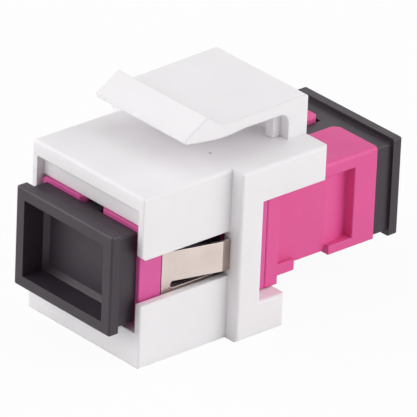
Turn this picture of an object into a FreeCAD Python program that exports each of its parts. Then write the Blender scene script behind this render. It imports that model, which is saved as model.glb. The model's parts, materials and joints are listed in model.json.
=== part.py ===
"""SC simplex fibre adapter snapped into a keystone holder, with a dust cap in each port.

Millimetres. +Z is up and +Y is the rear. The origin is under the middle of the adapter: y = 0 is half-way
between its two ports, and z = 0 is the flat bottom of the holder.
"""
import FreeCAD, Part
import os
import re

import Sketcher

Vector = FreeCAD.Vector

# Driving dimensions in millimetres and degrees, grouped by piece.
SIZES = {
    # keystone holder
    "holder_width": 14.5,
    "holder_height": 15.9,
    "nose_depth": 9.7,
    "shoulder_width": 17.2,
    "bar_depth": 2.6,
    "top_arm_depth": 6.95,
    "bottom_arm_depth": 2.75,
    "floor_thickness": 3.15,
    "skirt_drop": 0.32,
    "adapter_clearance": 0.1,
    "side_clearance": 0.2,
    "roof_clearance": 0.06,
    "window_height": 4.2,
    "window_bevel": 0.35,
    "brow_height": 1.85,
    "brow_depth": 0.73,
    "catch_width": 9.0,
    "catch_length": 2.0,
    "catch_depth": 1.2,
    "catch_wall": 1.0,
    "holder_rounding": 0.3,
    "nose_rounding": 0.12,
    # latch lever on the holder's top
    "lever_width": 11.6,
    "lever_rise": 3.75,
    "post_thickness": 2.1,
    "plate_thickness": 1.2,
    "plate_slope": 0.25,
    "plate_length": 9.55,
    "wedge_run": 1.7,
    "wedge_rise": 1.2,
    "nose_run": 2.35,
    "nose_fall": 1.45,
    "nose_thickness": 0.38,
    "nose_length": 1.9,
    "belly_run": 1.6,
    "belly_flat": 1.5,
    "belly_depth": 0.17,
    "lever_inner_rounding": 1.0,
    "rib_width": 0.85,
    "rib_depth": 0.9,
    "rib_inset": 1.0,
    "rib_clearance": 0.35,
    # adapter halves
    "adapter_width": 12.8,
    "adapter_height": 9.2,
    "half_length": 13.31,
    "joint_offset": 0.31,
    "adapter_rounding": 0.35,
    "flange_width": 14.1,
    "flange_height": 9.5,
    "front_flange": 1.39,
    "rear_flange": 1.71,
    "seam_bevel": 0.1,
    "port_width": 9.05,
    "port_height": 7.45,
    "port_lead_in": 0.25,
    "key_slot_width": 2.1,
    "key_slot_length": 8.2,
    "key_slot_flare": 0.5,
    "recess_height": 6.75,
    "recess_depth": 0.45,
    "recess_end_depth": 1.0,
    "recess_ramp": 2.9,
    "collar_length": 2.5,
    "collar_lift": 0.4,
    "strap_channel_start": 4.2,
    "strap_channel_end": 8.1,
    "strap_channel_depth": 0.7,
    "relief_depth": 0.85,
    "relief_length": 5.2,
    # latch inserts between the halves
    "insert_width": 10.4,
    "insert_height": 8.4,
    "insert_thickness": 1.3,
    "insert_clearance": 0.05,
    "barrel_diameter": 4.4,
    "barrel_length": 6.9,
    "ferrule_entry": 2.6,
    "hook_length": 9.2,
    "hook_thickness": 0.8,
    "hook_height": 3.4,
    "hook_barb": 0.45,
    "hook_barb_length": 1.2,
    "hook_wall_gap": 0.2,
    # alignment sleeve
    "sleeve_diameter": 3.2,
    "sleeve_bore": 2.5,
    "sleeve_length": 11.4,
    "sleeve_slit": 0.5,
    "sleeve_clearance": 0.05,
    # spring clip
    "clip_thickness": 0.3,
    "clip_clearance": 0.03,
    "clip_rear_gap": 0.4,
    "clip_edge_gap": 0.06,
    "clip_fold_radius": 0.6,
    "tongue_height": 2.8,
    "tongue_slot": 0.62,
    "tongue_root": 1.35,
    "tongue_overlap": 0.2,
    "tongue_reach": 1.15,
    "tongue_tip": 0.75,
    "tongue_tip_gap": 0.06,
    "clip_window_overrun": 1.1,
    # dust caps
    "cap_width": 12.5,
    "cap_height": 9.32,
    "cap_rim": 1.0,
    "cap_side_step": 0.28,
    "cap_top_step": 0.45,
    "cap_reach": 3.0,
    "cap_wall": 1.18,
    "cap_pocket": 2.5,
    "cap_floor_bevel": 0.42,
    "cap_floor_slope": 45.0,
    "cap_draft": 3.0,
    "cap_rounding": 0.2,
    "plug_length": 6.0,
    "plug_width": 5.9,
    "plug_clearance": 0.1,
    "plug_bore": 4.2,
    "plug_floor": 1.0,
    "cap_key_width": 1.9,
}

# Places worked out from the sizes, as expressions in their names.
MID = "(floor_thickness + adapter_clearance + flange_height / 2)"
ROOF = "(" + MID + " + flange_height / 2 + adapter_clearance)"
OPENING_TOP = "(" + MID + " + adapter_height / 2 + roof_clearance)"
BAR_REAR = "(0 - front_flange - adapter_clearance)"
BAR_FRONT = "(" + BAR_REAR + " - bar_depth)"
NOSE_FRONT = "(" + BAR_FRONT + " - nose_depth)"
TOP_ARM_END = "(" + BAR_REAR + " + top_arm_depth)"
OPENING_HALF = "(adapter_width / 2 + side_clearance)"
CHANNEL_HALF = "(flange_width / 2 + adapter_clearance)"
PORT_TOP = "(port_height / 2)"
ADAPTER_TOP = "(adapter_height / 2)"
RECESS_X = "(adapter_width / 2 - recess_depth)"
RECESS_END = "(half_length - collar_length)"
CLIP_INNER = "(" + RECESS_X + " + clip_clearance)"
CLIP_OUTER = "(" + CLIP_INNER + " + clip_thickness)"
CLIP_FRONT = "(0 - " + RECESS_END + " + clip_edge_gap)"
TONGUE_ROOT = "(" + RECESS_END + " - clip_edge_gap - tongue_root)"
WINDOW_HALF = "(tongue_height / 2 + tongue_slot)"
CAP_FACE = "(half_length + cap_reach)"
OVERCUT = "1"

doc = FreeCAD.newDocument("sc_keystone_adapter")
sheet = doc.addObject("Spreadsheet::Sheet", "Sizes")


def fill_sheet():
    """Write each size into the sheet as a plain number with its name as the alias."""
    for row, (name, number) in enumerate(SIZES.items(), start=1):
        sheet.set("A%d" % row, name)
        sheet.set("B%d" % row, str(number))
        sheet.setAlias("B%d" % row, name)
    doc.recompute()


def bound(text):
    """Turn an expression in size names into one that reads the sheet."""
    return re.sub(r"[a-z]\w+", lambda word: "Sizes." + word.group(0), text)


def value(text):
    """The number that an expression in size names has now."""
    return float(sheet.evalExpression(bound(text).replace("Sizes.", "")))


def new_body(label):
    """A PartDesign body, which is one piece and becomes one file."""
    body = doc.addObject("PartDesign::Body", label)
    body.Label = label
    return body


def new_sketch(body, name, role, lift):
    """A sketch on one of the body's origin planes, lifted along the plane's normal."""
    planes = {feature.Role: feature for feature in body.Origin.OriginFeatures}
    sketch = body.newObject("Sketcher::SketchObject", name)
    sketch.AttachmentSupport = [(planes[role], "")]
    sketch.MapMode = "FlatFace"
    sketch.setExpression("AttachmentOffset.Base.z", bound(lift))
    return sketch


def pin_point(sketch, geometry, point, place):
    """Fix one point of a sketch by its two coordinates, bound to the sheet."""
    for kind, text in zip(("DistanceX", "DistanceY"), place):
        index = sketch.addConstraint(Sketcher.Constraint(kind, -1, 1, geometry, point, value(text)))
        sketch.setExpression("Constraints[%d]" % index, bound(text))


def draw_outline(sketch, corners):
    """A closed outline of straight lines through corners given as pairs of expressions."""
    places = [Vector(value(across), value(along), 0) for across, along in corners]
    first = sketch.GeometryCount
    count = len(places)
    for index in range(count):
        line = Part.LineSegment(places[index], places[(index + 1) % count])
        sketch.addGeometry(line, False)
    for index in range(count):
        following = first + (index + 1) % count
        sketch.addConstraint(Sketcher.Constraint("Coincident", first + index, 2, following, 1))
        pin_point(sketch, first + index, 1, corners[index])


def draw_circle(sketch, place, diameter):
    """A circle with its centre and diameter bound to the sheet."""
    centre = Vector(value(place[0]), value(place[1]), 0)
    circle = Part.Circle(centre, Vector(0, 0, 1), value(diameter) / 2)
    geometry = sketch.addGeometry(circle, False)
    pin_point(sketch, geometry, 3, place)
    index = sketch.addConstraint(Sketcher.Constraint("Diameter", geometry, value(diameter)))
    sketch.setExpression("Constraints[%d]" % index, bound(diameter))


def box_outline(low, high):
    """Corners of an upright rectangle between two opposite corners."""
    return [(low[0], low[1]), (high[0], low[1]), (high[0], high[1]), (low[0], high[1])]


def mirrored(corners):
    """The same outline on the other side of the YZ plane."""
    return [("0 - (" + across + ")", along) for across, along in corners]


# Each origin plane's normal, and whether a run from low to high goes along it.
ALONG = {"XY_Plane": True, "YZ_Plane": True, "XZ_Plane": False}


def extrude(kind, body, name, role, outlines, low, high):
    """A Pad or Pocket of the outlines between two places on the axis normal to a plane.

    outlines are lists of corners, or (place, diameter) for a circle. low and high are row coordinates:
    x on the YZ plane, y on the XZ plane (whose normal points to -Y) and z on the XY plane.
    """
    adds = kind == "PartDesign::Pad"
    from_low = ALONG[role] == adds
    start = low if from_low else high
    lift = start if ALONG[role] else "0 - (" + start + ")"
    sketch = new_sketch(body, name + "_sketch", role, lift)
    for outline in outlines:
        if isinstance(outline, tuple):
            draw_circle(sketch, *outline)
        else:
            draw_outline(sketch, outline)
    feature = body.newObject(kind, name)
    feature.Profile = sketch
    feature.setExpression("Length", bound("(" + high + ") - (" + low + ")"))
    doc.recompute()
    return feature


def pad(*arguments):
    return extrude("PartDesign::Pad", *arguments)


def pocket(*arguments):
    return extrude("PartDesign::Pocket", *arguments)


def edges_where(feature, test):
    """Names of a feature's edges whose middle point and direction pass a test."""
    names = []
    for index, edge in enumerate(feature.Shape.Edges, start=1):
        middle = edge.valueAt((edge.FirstParameter + edge.LastParameter) / 2)
        if isinstance(edge.Curve, Part.Line) and test(middle, edge.Curve.Direction):
            names.append("Edge%d" % index)
    return names


def dress(kind, body, name, feature, size, test):
    """A PartDesign Fillet or Chamfer of the straight edges that pass a test."""
    names = edges_where(feature, test)
    if not names:
        raise RuntimeError("no edges found for " + name)
    dressed = body.newObject(kind, name)
    dressed.Base = (feature, names)
    dressed.setExpression("Radius" if kind.endswith("Fillet") else "Size", bound(size))
    doc.recompute()
    return dressed


def near(number, text):
    """Whether a coordinate lies at the place that an expression names."""
    return abs(number - value(text)) < 1e-4


# ---------------------------------------------------------------- keystone holder

def make_holder():
    """One white moulding: nose, side bars, long top arm and short bottom arm round an open channel."""
    body = new_body("keystone_holder")
    half_shoulder = "shoulder_width / 2"
    side_view = [
        (NOSE_FRONT, "0"),
        (BAR_REAR + " + bottom_arm_depth", "0"),
        (BAR_REAR + " + bottom_arm_depth", "floor_thickness"),
        (BAR_REAR, "floor_thickness"),
        (BAR_REAR, ROOF + " - skirt_drop"),
        (TOP_ARM_END, ROOF + " - skirt_drop"),
        (TOP_ARM_END, "holder_height"),
        (NOSE_FRONT, "holder_height"),
    ]
    pad(body, "frame_side_view", "YZ_Plane", [side_view], "0 - " + half_shoulder, half_shoulder)

    # The nose is narrower than the shoulder.
    cheek = box_outline(("holder_width / 2", NOSE_FRONT + " - " + OVERCUT),
                        (half_shoulder + " + " + OVERCUT, BAR_FRONT))
    pocket(body, "nose_cheeks", "XY_Plane", [cheek, mirrored(cheek)], "0 - " + OVERCUT,
           "holder_height + " + OVERCUT)

    # The channel that the adapter slides into, wider behind the bars for its flange.
    channel = box_outline(("0 - " + OPENING_HALF, "floor_thickness"), (OPENING_HALF, OPENING_TOP))
    pocket(body, "adapter_opening", "XZ_Plane", [channel], NOSE_FRONT + " - " + OVERCUT,
           TOP_ARM_END + " + " + OVERCUT)
    wide_channel = box_outline(("0 - " + CHANNEL_HALF, "floor_thickness"), (CHANNEL_HALF, ROOF))
    pocket(body, "flange_channel", "XZ_Plane", [wide_channel], BAR_REAR, TOP_ARM_END + " + " + OVERCUT)

    # A shallow recess over the opening, in the front face.
    brow = box_outline(("0 - " + OPENING_HALF, OPENING_TOP + " - " + OVERCUT),
                       (OPENING_HALF, OPENING_TOP + " + brow_height"))
    pocket(body, "brow_recess", "XZ_Plane", [brow], NOSE_FRONT + " - " + OVERCUT,
           NOSE_FRONT + " + brow_depth")

    # Side windows, open at the front, where the clip's tongues spring out. Their upper corner is bevelled.
    window_top = "(" + MID + " + window_height / 2)"
    window = [
        (NOSE_FRONT + " - " + OVERCUT, MID + " - window_height / 2"),
        (BAR_FRONT, MID + " - window_height / 2"),
        (BAR_FRONT, window_top),
        (NOSE_FRONT + " + window_bevel", window_top),
        (NOSE_FRONT, window_top + " + window_bevel"),
        (NOSE_FRONT + " - " + OVERCUT, window_top + " + window_bevel"),
    ]
    pocket(body, "tongue_windows", "YZ_Plane", [window], "0 - holder_width / 2 - " + OVERCUT,
           "holder_width / 2 + " + OVERCUT)

    # The pocket in the bottom that a keystone port's fixed tooth enters.
    catch = box_outline(("0 - catch_width / 2", BAR_FRONT + " - catch_wall - catch_length"),
                        ("catch_width / 2", BAR_FRONT + " - catch_wall"))
    lowest = pocket(body, "catch_pocket", "XY_Plane", [catch], "0 - " + OVERCUT, "catch_depth")

    def nose_edge(middle, direction):
        lower = abs(direction.y) > 0.9 and near(middle.z, "0")
        front = abs(direction.z) > 0.9 and near(middle.y, NOSE_FRONT)
        return near(abs(middle.x), "holder_width / 2") and (lower or front)

    crisp = dress("PartDesign::Fillet", body, "nose_rounding_edges", lowest, "nose_rounding", nose_edge)

    def outer_edge(middle, direction):
        lengthwise = abs(direction.y) > 0.9
        upright = abs(direction.z) > 0.9
        on_top = lengthwise and near(middle.z, "holder_height")
        on_shoulder = near(abs(middle.x), half_shoulder)
        on_nose = near(abs(middle.x), "holder_width / 2")
        return (on_top and (on_nose or on_shoulder)) or (on_shoulder and (upright or lengthwise))

    rounded = dress("PartDesign::Fillet", body, "outer_rounding", crisp, "holder_rounding", outer_edge)
    body.Tip = rounded
    return body


# ---------------------------------------------------------------- latch lever

def make_lever():
    """The sprung lever: a post on the top arm's end, a plate over the holder and a catch wedge."""
    body = new_body("latch_lever")
    top = "(holder_height + lever_rise)"
    valley_y = "(" + TOP_ARM_END + " - plate_length)"
    valley_z = "(" + top + " - plate_slope)"
    ridge_y = "(" + valley_y + " - wedge_run)"
    ridge_z = "(" + valley_z + " + wedge_rise)"
    tip_y = "(" + ridge_y + " - nose_run)"
    tip_z = "(" + ridge_z + " - nose_fall)"
    under = "(" + top + " - plate_thickness)"
    belly_y = "(" + tip_y + " + nose_length + belly_run)"
    belly_z = "(" + under + " - belly_depth)"
    post_front = "(" + TOP_ARM_END + " - post_thickness)"
    side_view = [
        (TOP_ARM_END, "holder_height"),
        (TOP_ARM_END, top),
        (valley_y, valley_z),
        (ridge_y, ridge_z),
        (tip_y, tip_z),
        (tip_y, tip_z + " - nose_thickness"),
        (tip_y + " + nose_length", under),
        (belly_y, belly_z),
        (belly_y + " + belly_flat", belly_z),
        (belly_y + " + belly_flat + belly_run", under),
        (post_front, under),
        (post_front, "holder_height"),
    ]
    half = "lever_width / 2"
    blade = pad(body, "lever_side_view", "YZ_Plane", [side_view], "0 - " + half, half)

    def inner_corner(middle, direction):
        return abs(direction.x) > 0.9 and near(middle.y, post_front) and near(middle.z, under)

    dress("PartDesign::Fillet", body, "post_bend", blade, "lever_inner_rounding", inner_corner)

    # Two ribs stiffen the bend between the post and the plate.
    rib = box_outline((half + " - rib_inset - rib_width", post_front + " - rib_depth"),
                      (half + " - rib_inset", post_front + " + post_thickness / 2"))
    ribs = pad(body, "post_ribs", "XY_Plane", [rib, mirrored(rib)], "holder_height + rib_clearance",
               under + " + plate_thickness / 2")

    def top_edge(middle, direction):
        return abs(direction.x) > 0.9 and near(middle.y, TOP_ARM_END) and near(middle.z, top)

    crest = dress("PartDesign::Fillet", body, "heel_rounding", ribs, "holder_rounding", top_edge)
    body.Tip = crest
    return body


# ---------------------------------------------------------------- adapter halves

def make_half(label, joint, flange_end, relieved=False):
    """One half of the adapter's housing, from the welded joint in its flange to its port at +Y.

    joint and flange_end are the y of the welded face and of the flange's other face. A relieved half has
    room behind the clip's tongues. Heights are measured from the adapter's own middle line, and the
    placement lifts them.
    """
    body = new_body(label)
    half_width = "adapter_width / 2"
    outline = box_outline(("0 - " + half_width, "0 - " + ADAPTER_TOP), (half_width, ADAPTER_TOP))
    shell = pad(body, label + "_shell", "XZ_Plane", [outline], joint, "half_length")

    def long_edge(middle, direction):
        return abs(direction.y) > 0.9

    dress("PartDesign::Fillet", body, label + "_rounding", shell, "adapter_rounding", long_edge)
    flange = box_outline(("0 - flange_width / 2", "0 - flange_height / 2"),
                         ("flange_width / 2", "flange_height / 2"))
    rim = pad(body, label + "_flange", "XZ_Plane", [flange], joint, flange_end)

    def seam_edge(middle, direction):
        at_side = near(abs(middle.x), "flange_width / 2")
        at_top = near(abs(middle.z), "flange_height / 2")
        return near(middle.y, joint) and (at_side or at_top)

    dress("PartDesign::Chamfer", body, label + "_seam", rim, "seam_bevel", seam_edge)

    # The port, with a wider seat for the latch insert at the joint plane.
    port = box_outline(("0 - port_width / 2", "0 - " + PORT_TOP), ("port_width / 2", PORT_TOP))
    opened = pocket(body, label + "_port", "XZ_Plane", [port], "0 - " + OVERCUT, "half_length + " + OVERCUT)

    def mouth_edge(middle, direction):
        return near(middle.y, "half_length") and abs(middle.x) < value("port_width / 2") + 1e-4 \
            and abs(middle.z) < value(PORT_TOP) + 1e-4

    dress("PartDesign::Chamfer", body, label + "_lead_in", opened, "port_lead_in", mouth_edge)
    seat_x = "(insert_width / 2 + insert_clearance)"
    seat_z = "(insert_height / 2 + insert_clearance)"
    seat = box_outline(("0 - " + seat_x, "0 - " + seat_z), (seat_x, seat_z))
    pocket(body, label + "_insert_seat", "XZ_Plane", [seat], "0 - " + OVERCUT,
           "insert_thickness + insert_clearance")

    # The key slot in the top wall, flared at its mouth.
    slot_start = "half_length - key_slot_length"
    slot = [
        ("0 - key_slot_width / 2", slot_start),
        ("key_slot_width / 2", slot_start),
        ("key_slot_width / 2", "half_length - key_slot_flare"),
        ("key_slot_width / 2 + key_slot_flare", "half_length"),
        ("key_slot_width / 2 + key_slot_flare", "half_length + " + OVERCUT),
        ("0 - key_slot_width / 2 - key_slot_flare", "half_length + " + OVERCUT),
        ("0 - key_slot_width / 2 - key_slot_flare", "half_length"),
        ("0 - key_slot_width / 2", "half_length - key_slot_flare"),
    ]
    pocket(body, label + "_key_slot", "XY_Plane", [slot], "0", ADAPTER_TOP + " + " + OVERCUT)

    # Side recesses for the clip, deeper towards the collar.
    recess = [
        (RECESS_X, flange_end),
        (half_width + " + " + OVERCUT, flange_end),
        (half_width + " + " + OVERCUT, RECESS_END),
        (half_width + " - recess_end_depth", RECESS_END),
        (RECESS_X, RECESS_END + " - recess_ramp"),
    ]
    pocket(body, label + "_side_recesses", "XY_Plane", [recess, mirrored(recess)], "0 - recess_height / 2",
           "recess_height / 2")

    # The collar behind the port stops short of the housing's bottom.
    lifted = box_outline(("0 - " + half_width + " - " + OVERCUT, "strap_channel_end"),
                         (half_width + " + " + OVERCUT, "half_length + " + OVERCUT))
    pocket(body, label + "_collar_bottom", "XY_Plane", [lifted], "0 - flange_height / 2 - " + OVERCUT,
           "collar_lift - " + ADAPTER_TOP)

    # The channel round the bottom that the clip's strap lies in.
    wrap = [
        ("0 - " + half_width + " - " + OVERCUT, "0"),
        ("0 - " + RECESS_X, "0"),
        ("0 - " + RECESS_X, "strap_channel_depth - " + ADAPTER_TOP),
        (RECESS_X, "strap_channel_depth - " + ADAPTER_TOP),
        (RECESS_X, "0"),
        (half_width + " + " + OVERCUT, "0"),
        (half_width + " + " + OVERCUT, "0 - flange_height / 2 - " + OVERCUT),
        ("0 - " + half_width + " - " + OVERCUT, "0 - flange_height / 2 - " + OVERCUT),
    ]
    last = pocket(body, label + "_strap_channel", "XZ_Plane", [wrap], "strap_channel_start",
                  "strap_channel_end")
    if relieved:
        relief = box_outline((RECESS_X + " - relief_depth", TONGUE_ROOT + " - relief_length"),
                             (half_width + " + " + OVERCUT, TONGUE_ROOT))
        last = pocket(body, label + "_tongue_reliefs", "XY_Plane", [relief, mirrored(relief)],
                      "0 - " + WINDOW_HALF, WINDOW_HALF)
    body.Tip = last
    return body


# ---------------------------------------------------------------- latch inserts

def make_insert(label):
    """The moulding behind a port: a plate, a barrel for the sleeve and two hooks for the plug."""
    body = new_body(label)
    plate = box_outline(("0 - insert_width / 2", "0 - insert_height / 2"),
                        ("insert_width / 2", "insert_height / 2"))
    pad(body, label + "_plate", "XZ_Plane", [plate], "0", "insert_thickness")
    pad(body, label + "_barrel", "XZ_Plane", [(("0", "0"), "barrel_diameter")], "0", "barrel_length")

    hook_outer = "(port_width / 2 - hook_wall_gap)"
    hook_inner = "(" + hook_outer + " - hook_thickness)"
    barb = "(" + hook_inner + " - hook_barb)"
    hook = [
        (hook_inner, "0"),
        (hook_outer, "0"),
        (hook_outer, "hook_length"),
        (barb + " + hook_barb / 2", "hook_length"),
        (barb, "hook_length - hook_barb_length / 2"),
        (barb, "hook_length - hook_barb_length"),
        (hook_inner, "hook_length - hook_barb_length"),
    ]
    pad(body, label + "_hooks", "XY_Plane", [hook, mirrored(hook)], "0 - hook_height / 2",
        "hook_height / 2")
    sleeve_seat = "sleeve_length / 2 + sleeve_clearance"
    pocket(body, label + "_sleeve_seat", "XZ_Plane",
           [(("0", "0"), "sleeve_diameter + 2 * sleeve_clearance")], "0 - " + OVERCUT, sleeve_seat)
    entry = pocket(body, label + "_ferrule_entry", "XZ_Plane", [(("0", "0"), "ferrule_entry")],
                   "0 - " + OVERCUT, "barrel_length + " + OVERCUT)
    body.Tip = entry
    return body


# ---------------------------------------------------------------- alignment sleeve

def make_sleeve():
    """The split ceramic sleeve that holds two ferrules end to end."""
    body = new_body("alignment_sleeve")
    half = "sleeve_length / 2"
    pad(body, "sleeve_tube", "XZ_Plane", [(("0", "0"), "sleeve_diameter")], "0 - " + half, half)
    pocket(body, "sleeve_hole", "XZ_Plane", [(("0", "0"), "sleeve_bore")], "0 - " + half + " - " + OVERCUT,
           half + " + " + OVERCUT)
    slit = box_outline(("0 - sleeve_slit / 2", "0"), ("sleeve_slit / 2", "sleeve_diameter"))
    split = pocket(body, "sleeve_slit", "XZ_Plane", [slit], "0 - " + half + " - " + OVERCUT,
                   half + " + " + OVERCUT)
    body.Tip = split
    return body


# ---------------------------------------------------------------- spring clip

def make_clip():
    """The folded sheet round the front half: a strap under it and a plate with a tongue on each side.

    Heights are measured from the adapter's middle line.
    """
    body = new_body("spring_clip")
    plate_top = "(recess_height / 2 - clip_edge_gap)"
    plate_rear = "(0 - front_flange - clip_rear_gap)"
    strap_top = "(strap_channel_depth - " + ADAPTER_TOP + " - clip_clearance)"
    strap_bottom = "(" + strap_top + " - clip_thickness)"
    strap_front = "(0 - strap_channel_end + clip_edge_gap)"
    strap_rear = "(0 - strap_channel_start - clip_edge_gap)"

    # The strap and the side plates start as blocks, which one pocket hollows to sheet.
    wrap = box_outline(("0 - " + CLIP_OUTER, strap_bottom), (CLIP_OUTER, "0"))
    block = pad(body, "strap_block", "XZ_Plane", [wrap], strap_front, strap_rear)

    def fold_edge(middle, direction):
        return abs(direction.y) > 0.9 and near(middle.z, strap_bottom)

    dress("PartDesign::Fillet", body, "strap_folds", block, "clip_fold_radius", fold_edge)
    sides = box_outline(("0 - " + CLIP_OUTER, "0 - " + plate_top), (CLIP_OUTER, plate_top))
    pad(body, "side_plates", "XZ_Plane", [sides], CLIP_FRONT, plate_rear)
    inside = box_outline(("0 - " + CLIP_INNER, strap_top), (CLIP_INNER, plate_top + " + " + OVERCUT))
    pocket(body, "clip_inside", "XZ_Plane", [inside], CLIP_FRONT + " - " + OVERCUT,
           plate_rear + " + " + OVERCUT)

    # A window in each plate, with a rounded slot along each edge of the tongue.
    root_y = "(0 - " + TONGUE_ROOT + ")"
    tip_y = "(" + BAR_FRONT + " - tongue_tip_gap)"
    crease_y = "(" + tip_y + " - tongue_tip)"
    slot_middle = "(tongue_height / 2 + tongue_slot / 2)"
    window_end = tip_y + " + clip_window_overrun"
    far_side = "(" + CLIP_OUTER + " + " + OVERCUT + ")"
    opening = box_outline((root_y, "0 - " + WINDOW_HALF), (window_end, WINDOW_HALF))
    pocket(body, "tongue_openings", "YZ_Plane", [opening], "0 - " + far_side, far_side)
    slot_ends = [((root_y, slot_middle), "tongue_slot"), ((root_y, "0 - " + slot_middle), "tongue_slot")]
    pocket(body, "slot_ends", "YZ_Plane", slot_ends, "0 - " + far_side, far_side)

    # Each tongue slopes out from its root to a crease, then runs straight to its tip.
    tongue = [
        (CLIP_INNER, root_y + " - tongue_overlap"),
        (CLIP_OUTER, root_y + " - tongue_overlap"),
        (CLIP_OUTER, root_y),
        (CLIP_OUTER + " + tongue_reach", crease_y),
        (CLIP_OUTER + " + tongue_reach", tip_y),
        (CLIP_INNER + " + tongue_reach", tip_y),
        (CLIP_INNER + " + tongue_reach", crease_y),
        (CLIP_INNER, root_y),
    ]
    tongues = pad(body, "tongues", "XY_Plane", [tongue, mirrored(tongue)], "0 - tongue_height / 2",
                  "tongue_height / 2")
    body.Tip = tongues
    return body


# ---------------------------------------------------------------- dust caps

def make_cap(label):
    """A soft cap facing +Y: rim, neck, pocketed face, and a hollow plug with a key on top."""
    body = new_body(label)
    half_width = "cap_width / 2"
    half_height = "cap_height / 2"
    rim = box_outline(("0 - " + half_width, "0 - " + half_height), (half_width, half_height))
    pad(body, label + "_rim", "XZ_Plane", [rim], CAP_FACE + " - cap_rim", CAP_FACE)
    neck_x = "(" + half_width + " - cap_side_step)"
    neck_z = "(" + half_height + " - cap_top_step)"
    neck = box_outline(("0 - " + neck_x, "0 - " + neck_z), (neck_x, neck_z))
    necked = pad(body, label + "_neck", "XZ_Plane", [neck], "half_length", CAP_FACE + " - cap_rim")

    def outer_edge(middle, direction):
        on_rim = near(abs(middle.x), half_width) or near(abs(middle.z), half_height)
        on_neck = near(abs(middle.x), neck_x) and near(abs(middle.z), neck_z)
        return (on_rim and not near(middle.y, CAP_FACE + " - cap_rim")) or on_neck

    dress("PartDesign::Fillet", body, label + "_rounding", necked, "cap_rounding", outer_edge)
    plug_z = "(port_height / 2 - plug_clearance)"
    plug = box_outline(("0 - plug_width / 2", "0 - " + plug_z), ("plug_width / 2", plug_z))
    pad(body, label + "_plug", "XZ_Plane", [plug], "half_length - plug_length", "half_length")
    key = box_outline(("0 - cap_key_width / 2", "0"), ("cap_key_width / 2", neck_z))
    pad(body, label + "_key", "XZ_Plane", [key], "half_length - plug_length", "half_length")

    # The pocket widens from its bevelled floor to its mouth.
    pocket_x = "(" + half_width + " - cap_wall)"
    pocket_z = "(" + half_height + " - cap_wall)"
    floor_x = "(" + pocket_x + " - cap_floor_bevel)"
    floor_z = "(" + pocket_z + " - cap_floor_bevel)"
    floor_y = "(" + CAP_FACE + " - cap_pocket)"
    walls_y = "(" + floor_y + " + cap_floor_bevel)"
    floor = box_outline(("0 - " + floor_x, "0 - " + floor_z), (floor_x, floor_z))
    bevel = pocket(body, label + "_pocket_floor", "XZ_Plane", [floor], floor_y, walls_y)
    bevel.setExpression("TaperAngle", bound("cap_floor_slope"))
    mouth = box_outline(("0 - " + pocket_x, "0 - " + pocket_z), (pocket_x, pocket_z))
    hollow = pocket(body, label + "_pocket_walls", "XZ_Plane", [mouth], walls_y, CAP_FACE)
    hollow.setExpression("TaperAngle", bound("cap_draft"))
    bore = pocket(body, label + "_bore", "XZ_Plane", [(("0", "0"), "plug_bore")],
                  "half_length - plug_length - " + OVERCUT, "half_length - plug_floor")
    body.Tip = bore
    return body


# ---------------------------------------------------------------- assembly and export

def place(body, turned=False, lifted=True):
    """Lift a piece to the adapter's middle line, turned to face the front where asked."""
    if lifted:
        body.setExpression("Placement.Base.z", bound(MID))
    if turned:
        body.Placement.Rotation = FreeCAD.Rotation(Vector(0, 0, 1), 180)
    return body


def check_and_export(bodies):
    """Stop on any failed object, then write one STEP file for each piece."""
    doc.recompute()
    for item in doc.Objects:
        if "Invalid" in item.State or "Error" in item.State:
            raise RuntimeError("failed: " + item.Name)
    os.makedirs("parts", exist_ok=True)
    for body in bodies:
        shape = body.Shape
        if shape.isNull() or not shape.isValid():
            raise RuntimeError("bad shape: " + body.Label)
        shape.exportStep("parts/" + body.Label + ".step")
        print(body.Label, len(shape.Solids), round(shape.Volume, 3))


fill_sheet()
pieces = [
    place(make_holder(), lifted=False),
    place(make_lever(), lifted=False),
    place(make_half("front_adapter_half", "(0 - joint_offset)", "front_flange", relieved=True),
          turned=True),
    place(make_half("rear_adapter_half", "joint_offset", "rear_flange")),
    place(make_insert("front_latch_insert"), turned=True),
    place(make_insert("rear_latch_insert")),
    place(make_sleeve()),
    place(make_clip()),
    place(make_cap("front_dust_cap"), turned=True),
    place(make_cap("rear_dust_cap")),
]
check_and_export(pieces)
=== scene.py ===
import json
import math

import bmesh
import bpy
from mathutils import Matrix, Vector


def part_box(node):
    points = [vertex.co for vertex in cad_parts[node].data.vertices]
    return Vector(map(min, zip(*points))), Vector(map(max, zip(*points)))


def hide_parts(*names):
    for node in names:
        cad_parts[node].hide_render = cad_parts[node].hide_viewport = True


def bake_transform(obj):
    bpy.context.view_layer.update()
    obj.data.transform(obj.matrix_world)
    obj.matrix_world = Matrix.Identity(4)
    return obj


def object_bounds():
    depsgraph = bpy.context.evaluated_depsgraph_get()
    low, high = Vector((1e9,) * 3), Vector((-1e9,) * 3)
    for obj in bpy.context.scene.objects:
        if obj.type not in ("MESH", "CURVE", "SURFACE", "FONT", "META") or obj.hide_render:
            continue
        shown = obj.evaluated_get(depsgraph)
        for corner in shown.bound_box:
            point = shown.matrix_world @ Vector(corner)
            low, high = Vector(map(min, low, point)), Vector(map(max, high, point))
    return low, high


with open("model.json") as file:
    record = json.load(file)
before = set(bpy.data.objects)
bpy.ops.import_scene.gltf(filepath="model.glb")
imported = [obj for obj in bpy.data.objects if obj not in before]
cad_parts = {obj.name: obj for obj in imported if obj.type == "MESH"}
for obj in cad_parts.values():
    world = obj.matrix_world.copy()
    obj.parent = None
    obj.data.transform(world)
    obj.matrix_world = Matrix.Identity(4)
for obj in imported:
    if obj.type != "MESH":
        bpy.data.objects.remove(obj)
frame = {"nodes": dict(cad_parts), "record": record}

CAD_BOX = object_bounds()
MM = 0.001

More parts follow.
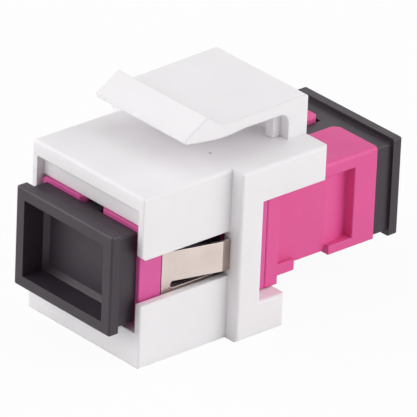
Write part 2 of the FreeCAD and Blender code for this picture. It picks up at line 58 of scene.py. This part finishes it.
# The camera: its direction and roll in degrees, how far it stands from its target, how far the target lies
# from the picture's middle (to the right and up), and how wide it sees there.
VIEW_AZIMUTH = 48.0
VIEW_ELEVATION = 26.475
VIEW_ROLL = 2.478
VIEW_DISTANCE = 600 * MM
VIEW_TARGET = Vector((0, -1.74, 8.0)) * MM
TARGET_OFFSET = (-1.246 * MM, -0.537 * MM)
IMAGE_WIDTH = 35.517 * MM
SENSOR_WIDTH = 36.0
CLIP_START = 0.05
CLIP_END = 10

# The studio: the surround's light, then each lamp's name, direction, distance, size and level.
WORLD_LIGHT = 0.22
WORLD_COLOUR = (1.0, 0.99, 1.0, 1.0)
WHITE = (1.0, 1.0, 1.0, 1.0)
LAMPS = [
    ("key_lamp", (-0.60, -1.0, 0.36), 0.6, 0.65, 0.68),
    ("left_lamp", (-1.0, -0.5, 0.45), 0.6, 0.65, 0.30),
    ("right_lamp", (0.84, 0.6, 0.32), 0.6, 0.65, 0.85),
    ("top_lamp", (0.0, 0.0, 1.0), 0.6, 0.65, 0.33),
]

# The floor: its size, and how much of what the camera sees of it is plain white.
FLOOR_SIZE = 4
FLOOR_GLOW = 0.94

# Most of a noise's values lie in this range.
NOISE_RANGE = (0.3, 0.7)

# The box of painted shade behind the clip's tongues, and the strip of painted shadow where the clip's front
# edge meets the plastic.
TONGUE_SHADE_LOW = Vector((5.0, -9.75, 5.9)) * MM
TONGUE_SHADE_HIGH = Vector((6.03, -4.0, 10.1)) * MM
EDGE_SHADOW_LOW = Vector((6.0, -10.91, 4.0)) * MM
EDGE_SHADOW_HIGH = Vector((6.5, -10.83, 12.0)) * MM
PAINTED_SHADE_BLUR = 0.03 * MM

# Marks: the gate on the holder's top, two specks on the rear cap, and a mould ring on the rear half.
GATE_MARK = Vector((3.8, -3.6, 15.9)) * MM
CAP_SPECKS = (Vector((5.5, 13.76, 5.2)) * MM, Vector((5.5, 13.76, 5.6)) * MM)
MOULD_RING = Vector((6.4, 6.1, 8.6)) * MM
RING_RADIUS = 0.75 * MM
RING_WIDTH = 0.12 * MM
RING_RELIEF = 4.0

# The clip's steel is painted darker to the rear of its tongues' crease, a painted dark reflection of the
# shaded plastic beside the tongue tips, and turns darker over this run.
# Where the steel faces up as steeply as this, it gets a painted highlight, as on its up-facing cut edges.
TONGUE_CREASE = -4.90 * MM
CREASE_RUN = 0.05 * MM
EDGE_HIGHLIGHT_RISE = (0.7, 0.9)

# The lever: the height above its post's foot that is cut into level steps, in how many steps, and the range
# above the post's foot in which its ribs end.
BEND_HEIGHT = 2.1 * MM
BEND_STEPS = 14
RIB_ENDS = (0.1 * MM, 0.5 * MM)

# Vertices this near are one, and so are faces this level with each other. Sharper edges than the last stay
# sharp.
WELD = 0.001 * MM
FLAT_ANGLE = math.radians(0.5)
SHARP_ANGLE = math.radians(30)


# ------------------------------------------------------------------ node helpers

# Where the Mix node keeps its two colours and, among its outputs, the mixed one.
FIRST_COLOUR = 6
SECOND_COLOUR = 7
MIXED_COLOUR = 2


def new_material(name):
    """An empty node material with its output and a Principled shader joined to it."""
    material = bpy.data.materials.new(name)
    material.use_nodes = True
    nodes = material.node_tree.nodes
    nodes.clear()
    output = nodes.new("ShaderNodeOutputMaterial")
    shader = nodes.new("ShaderNodeBsdfPrincipled")
    material.node_tree.links.new(shader.outputs["BSDF"], output.inputs["Surface"])
    return material, shader


def add_node(owner, kind, inputs=None, **settings):
    """A node in a material or world, with its settings, and its inputs set to values or linked to sockets."""
    node = owner.node_tree.nodes.new(kind)
    for name, setting in settings.items():
        setattr(node, name, setting)
    for name, given in (inputs or {}).items():
        if isinstance(given, bpy.types.NodeSocket):
            owner.node_tree.links.new(given, node.inputs[name])
        else:
            node.inputs[name].default_value = given
    return node


def link(material, socket, shader, name):
    """Join a socket to the shader's input of that name."""
    material.node_tree.links.new(socket, shader.inputs[name])


def arithmetic(owner, operation, first, second=0.0):
    """One sum on two numbers or sockets."""
    return add_node(owner, "ShaderNodeMath", {0: first, 1: second}, operation=operation).outputs[0]


def spread(material, factor, low, high, lowest=0.0, highest=1.0):
    """A number that runs from low to high as factor runs from lowest to highest."""
    node = add_node(material, "ShaderNodeMapRange",
                    {"Value": factor, "From Min": lowest, "From Max": highest,
                     "To Min": low, "To Max": high})
    return node.outputs["Result"]


def mixed_colour(material, factor, first, second):
    """A colour between two, each given as a colour or a socket."""
    first, second = (given if isinstance(given, bpy.types.NodeSocket) else (*given, 1.0)
                     for given in (first, second))
    node = add_node(material, "ShaderNodeMix", {0: factor, FIRST_COLOUR: first, SECOND_COLOUR: second},
                    data_type="RGBA")
    return node.outputs[MIXED_COLOUR]


def place_on(material, stretch=None):
    """The place on the piece in metres, with each axis multiplied by stretch where it is given."""
    place = add_node(material, "ShaderNodeTexCoord").outputs["Object"]
    if stretch:
        place = add_node(material, "ShaderNodeMapping", {"Vector": place, "Scale": stretch}).outputs["Vector"]
    return place


def noise(material, place, size, detail=3.0):
    """Noise from 0 to 1 whose features are about size metres across."""
    node = add_node(material, "ShaderNodeTexNoise",
                    {"Vector": place, "Scale": 1 / size, "Detail": detail, "Roughness": 0.5})
    return node.outputs["Fac"]


def axes_of(material, vector):
    """The three parts of a vector."""
    return add_node(material, "ShaderNodeSeparateXYZ", {"Vector": vector}).outputs


def inside(material, low, high, blur):
    """1 within a box on either side of the middle plane, falling to 0 over blur outside it."""
    across, along, height = axes_of(material, place_on(material))
    within = 1.0
    for value, least, most in zip((arithmetic(material, "ABSOLUTE", across), along, height), low, high):
        above = spread(material, value, 0, 1, least - blur, least)
        below = spread(material, value, 1, 0, most, most + blur)
        both = arithmetic(material, "MULTIPLY", above, below)
        within = arithmetic(material, "MULTIPLY", within, both)
    return within


def away(material, centre):
    """The distance in metres from a point that is given where the piece lies at rest."""
    node = add_node(material, "ShaderNodeVectorMath", {0: place_on(material), 1: centre},
                    operation="DISTANCE")
    return node.outputs["Value"]


def softened(material, shader, height, depth, edge):
    """Fine relief on the surface, and edges that look rounded to the radius edge."""
    rounded = add_node(material, "ShaderNodeBevel", {"Radius": edge}, samples=6).outputs["Normal"]
    relief = add_node(material, "ShaderNodeBump", {"Height": height, "Distance": depth, "Normal": rounded})
    link(material, relief.outputs["Normal"], shader, "Normal")


# ------------------------------------------------------------------ moulded plastics

def moulded_plastic(name, colour, shade, rough, grain_depth, edge, soft=0.0, index=1.5, marks=(), ring=None):
    """Moulded plastic: a cloudy tone, an even fine grain and slightly uneven gloss.

    marks are (a function that gives how far a mark shows, its colour). ring is the centre of a low round
    mark from the mould.
    """
    material, shader = new_material(name)
    place = place_on(material)
    clouds = noise(material, place, 4 * MM)
    relief = noise(material, place, 0.12 * MM, detail=2.0)
    flow = noise(material, place_on(material, (1, 0.25, 1)), 1.6 * MM)
    tone = mixed_colour(material, spread(material, clouds, 0, 1, *NOISE_RANGE), shade, colour)
    for shows, mark_colour in marks:
        tone = mixed_colour(material, shows(material), tone, mark_colour)
    if ring:
        from_ring = arithmetic(material, "SUBTRACT", away(material, ring), RING_RADIUS)
        from_ring = arithmetic(material, "ABSOLUTE", from_ring)
        raised = spread(material, from_ring, RING_RELIEF, 0.0, 0, RING_WIDTH)
        relief = arithmetic(material, "ADD", relief, raised)
    link(material, tone, shader, "Base Color")
    link(material, spread(material, flow, rough - 0.05, rough + 0.05, *NOISE_RANGE), shader, "Roughness")
    softened(material, shader, relief, grain_depth, edge)
    shader.inputs["Subsurface Weight"].default_value = soft
    shader.inputs["Subsurface Radius"].default_value = (1.0, 0.9, 0.95)
    shader.inputs["Subsurface Scale"].default_value = 1.0 * MM
    shader.inputs["IOR"].default_value = index
    return material


def white_abs():
    """The holder and its lever, with the gate's mark on the holder's top."""
    def gate_mark(material):
        return spread(material, away(material, GATE_MARK), 0.6, 0.0, 0.08 * MM, 0.2 * MM)

    return moulded_plastic("white_abs", (0.93, 0.91, 0.925), (0.91, 0.89, 0.905), rough=0.55,
                           grain_depth=0.004 * MM, edge=0.15 * MM, soft=0.15, index=1.42,
                           marks=[(gate_mark, (0.25, 0.22, 0.22))])


def magenta_plastic():
    """The rear half of the adapter, with a mould ring on its side."""
    return moulded_plastic("magenta_plastic", (0.80, 0.092, 0.325), (0.775, 0.087, 0.310), rough=0.48,
                           grain_depth=0.004 * MM, edge=0.2 * MM, ring=MOULD_RING)


def magenta_front():
    """The front half of the adapter, with painted shade behind the clip's tongues and a painted shadow line
    along the clip's front edge.
    """
    # Painted shade: these two marks darken the plastic to near black where the tongues and the clip's front
    # edge leave it in shade.
    def painted_shade_behind_tongues(material):
        return inside(material, TONGUE_SHADE_LOW, TONGUE_SHADE_HIGH, PAINTED_SHADE_BLUR)

    def painted_shadow_at_clip_edge(material):
        return inside(material, EDGE_SHADOW_LOW, EDGE_SHADOW_HIGH, PAINTED_SHADE_BLUR)

    return moulded_plastic("magenta_front", (0.75, 0.10, 0.36), (0.73, 0.095, 0.345), rough=0.48,
                           grain_depth=0.004 * MM, edge=0.2 * MM,
                           marks=[(painted_shade_behind_tongues, (0.055, 0.03, 0.045)), (painted_shadow_at_clip_edge, (0.05, 0.012, 0.03))])


def natural_plastic():
    """The latch inserts."""
    return moulded_plastic("natural_plastic", (0.74, 0.73, 0.69), (0.70, 0.69, 0.65), rough=0.45,
                           grain_depth=0.003 * MM, edge=0.08 * MM)


def black_polyethylene():
    """The dust caps, with two bright specks on the rear one."""
    def bright_specks(material):
        nearest = arithmetic(material, "MINIMUM", *(away(material, speck) for speck in CAP_SPECKS))
        return spread(material, nearest, 0.8, 0.0, 0.04 * MM, 0.10 * MM)

    return moulded_plastic("black_polyethylene", (0.031, 0.0215, 0.031), (0.026, 0.018, 0.026), rough=0.48,
                           grain_depth=0.006 * MM, edge=0.06 * MM, marks=[(bright_specks, (0.5, 0.5, 0.5))])


# ------------------------------------------------------------------ steel and ceramic

def spring_steel():
    """Cold-rolled sheet: streaks along it, tongue ends darkened as a painted dark reflection, and a painted
    highlight on up-facing cut edges.
    """
    material, shader = new_material("spring_steel")
    place = place_on(material)
    streaks = noise(material, place_on(material, (1, 0.06, 1)), 0.12 * MM, detail=4.0)
    stains = noise(material, place, 2.2 * MM)
    tone = mixed_colour(material, spread(material, stains, 0, 1, *NOISE_RANGE),
                        (0.68, 0.575, 0.535), (0.75, 0.645, 0.605))
    # Painted shade: the tongue ends to the rear of the crease are darkened, a painted dark reflection.
    along = axes_of(material, place)[1]
    painted_tip_shade = spread(material, along, 0, 1, TONGUE_CREASE - CREASE_RUN, TONGUE_CREASE)
    tone = mixed_colour(material, painted_tip_shade, tone, (0.42, 0.34, 0.315))
    # Painted highlight: steel that faces up is brightened to near white.
    upward = axes_of(material, add_node(material, "ShaderNodeNewGeometry").outputs["Normal"])[2]
    painted_edge_highlight = spread(material, upward, 0, 1, *EDGE_HIGHLIGHT_RISE)
    tone = mixed_colour(material, painted_edge_highlight, tone, (0.96, 0.90, 0.88))
    link(material, tone, shader, "Base Color")
    link(material, spread(material, streaks, 0.26, 0.40, *NOISE_RANGE), shader, "Roughness")
    softened(material, shader, streaks, 0.003 * MM, 0.05 * MM)
    shader.inputs["Metallic"].default_value = 1.0
    return material


def zirconia():
    """Ground ceramic: dense and glossy, with faint grinding rings round the tube."""
    material, shader = new_material("zirconia")
    rings = noise(material, place_on(material, (0.05, 1, 0.05)), 0.1 * MM)
    clouds = noise(material, place_on(material), 1.5 * MM)
    tone = mixed_colour(material, clouds, (0.84, 0.83, 0.80), (0.90, 0.89, 0.86))
    link(material, tone, shader, "Base Color")
    link(material, spread(material, rings, 0.12, 0.22), shader, "Roughness")
    softened(material, shader, rings, 0.002 * MM, 0.05 * MM)
    return material


# ------------------------------------------------------------------ pieces

def dress_nodes(finishes, own_finishes):
    """Give each CAD node its own finish, or else the finish of its material slot."""
    for part in frame["record"]["subparts"]:
        mesh = frame["nodes"][part["node"]].data
        mesh.materials.clear()
        mesh.materials.append(own_finishes.get(part["node"]) or finishes[part["material_slot"]])


def clean_copy(node):
    """A copy of a CAD node's shape with its flat faces whole again."""
    shape = bmesh.new()
    shape.from_mesh(frame["nodes"][node].data)
    bmesh.ops.remove_doubles(shape, verts=shape.verts, dist=WELD)
    bmesh.ops.dissolve_limit(shape, angle_limit=FLAT_ANGLE, verts=shape.verts, edges=shape.edges)
    return shape


def add_piece(name, shape, finish):
    """A new piece of that shape and finish: smooth, with its sharper edges kept."""
    for face in shape.faces:
        face.smooth = True
    for edge in shape.edges:
        edge.smooth = len(edge.link_faces) == 2 and edge.calc_face_angle() < SHARP_ANGLE
    mesh = bpy.data.meshes.new(name)
    shape.to_mesh(mesh)
    shape.free()
    mesh.materials.append(finish)
    piece = bpy.data.objects.new(name, mesh)
    bpy.context.scene.collection.objects.link(piece)
    return piece


def add_lever(finish):
    """The sprung lever: its ribs reach the holder's top, and its post is cut into level steps above its foot.
    """
    shape = clean_copy("latch_lever")
    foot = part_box("latch_lever")[0][2]
    for vertex in shape.verts:
        if foot + RIB_ENDS[0] < vertex.co.z < foot + RIB_ENDS[1]:
            vertex.co.z = foot
    for step in range(1, BEND_STEPS):
        level = foot + step * BEND_HEIGHT / BEND_STEPS
        geometry = shape.verts[:] + shape.edges[:] + shape.faces[:]
        bmesh.ops.bisect_plane(shape, geom=geometry, plane_co=(0, 0, level), plane_no=(0, 0, 1))
    lever = add_piece("lever", shape, finish)
    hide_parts("latch_lever")
    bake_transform(lever)


# ------------------------------------------------------------------ camera, floor and light

def add_camera():
    """The camera, from above and to the right of the front port."""
    azimuth = math.radians(VIEW_AZIMUTH)
    elevation = math.radians(VIEW_ELEVATION)
    roll = math.radians(VIEW_ROLL)
    back = Vector((math.sin(azimuth) * math.cos(elevation), -math.cos(azimuth) * math.cos(elevation),
                   math.sin(elevation)))
    level = Vector((0, 0, 1)).cross(back).normalized()
    upright = back.cross(level)
    right = math.cos(roll) * level + math.sin(roll) * upright
    up = back.cross(right)
    centre = VIEW_TARGET - TARGET_OFFSET[0] * right - TARGET_OFFSET[1] * up
    data = bpy.data.cameras.new("camera")
    data.sensor_width = SENSOR_WIDTH
    data.lens = SENSOR_WIDTH * VIEW_DISTANCE / IMAGE_WIDTH
    data.clip_start = CLIP_START
    data.clip_end = CLIP_END
    camera = bpy.data.objects.new("camera", data)
    bpy.context.scene.collection.objects.link(camera)
    turn = Matrix((right, up, back)).transposed().to_4x4()
    camera.matrix_world = Matrix.Translation(centre + back * VIEW_DISTANCE) @ turn
    bpy.context.scene.camera = camera


def seen(owner):
    """1 for a ray from the camera, or one sent on by a glossy or a clear surface."""
    rays = add_node(owner, "ShaderNodeLightPath").outputs
    direct = arithmetic(owner, "MAXIMUM", rays["Is Camera Ray"], rays["Is Glossy Ray"])
    return arithmetic(owner, "MAXIMUM", direct, rays["Is Transmission Ray"])


def add_floor():
    """A plain pale floor that is seen as nearly white, with the object's soft shadow on it."""
    bpy.ops.mesh.primitive_plane_add(size=FLOOR_SIZE)
    floor = bpy.context.object
    floor.name = "floor"
    material, shader = new_material("pale_floor")
    shader.inputs["Roughness"].default_value = 0.9
    mottle = noise(material, place_on(material), 20 * MM)
    link(material, mixed_colour(material, mottle, (0.84, 0.84, 0.84), (0.86, 0.86, 0.86)), shader,
         "Base Color")
    plain = shader.outputs["BSDF"]
    glow = add_node(material, "ShaderNodeEmission", {"Color": WHITE, "Strength": 1.0}).outputs[0]
    pale = add_node(material, "ShaderNodeMixShader", {"Fac": FLOOR_GLOW, 1: plain, 2: glow}).outputs[0]
    shown = add_node(material, "ShaderNodeMixShader", {"Fac": seen(material), 1: plain, 2: pale}).outputs[0]
    output = material.node_tree.nodes["Material Output"]
    material.node_tree.links.new(shown, output.inputs["Surface"])
    floor.data.materials.append(material)


def add_world():
    """An even pale surround, pure white where the camera or a reflection sees it."""
    world = bpy.data.worlds.new("studio")
    bpy.context.scene.world = world
    world.use_nodes = True
    world.node_tree.nodes.clear()
    tinted = {"Color": WORLD_COLOUR, "Strength": WORLD_LIGHT}
    light = add_node(world, "ShaderNodeBackground", tinted).outputs[0]
    white = add_node(world, "ShaderNodeBackground", {"Color": WHITE, "Strength": 1.0}).outputs[0]
    shown = add_node(world, "ShaderNodeMixShader", {"Fac": seen(world), 1: light, 2: white}).outputs[0]
    add_node(world, "ShaderNodeOutputWorld", {"Surface": shown})


def add_lamp(name, direction, distance, size, level):
    """A square soft lamp in that direction. Were it small, it alone would light a white face to level."""
    data = bpy.data.lights.new(name, "AREA")
    data.size = size
    data.energy = level * math.pi ** 2 * distance ** 2
    lamp = bpy.data.objects.new(name, data)
    bpy.context.scene.collection.objects.link(lamp)
    way = Vector(direction).normalized()
    lamp.location = (CAD_BOX[0] + CAD_BOX[1]) / 2 + way * distance
    lamp.rotation_euler = way.to_track_quat("Z", "Y").to_euler()


holder_finish = white_abs()
dress_nodes(
    finishes={
        "holder_plastic": holder_finish,
        "adapter_plastic": magenta_plastic(),
        "insert_plastic": natural_plastic(),
        "cap_plastic": black_polyethylene(),
        "clip_steel": spring_steel(),
        "sleeve_ceramic": zirconia(),
    },
    own_finishes={"front_adapter_half": magenta_front()},
)
add_lever(holder_finish)
add_camera()
add_floor()
add_world()
for lamp in LAMPS:
    add_lamp(*lamp)

bpy.context.scene.view_settings.view_transform = "Standard"
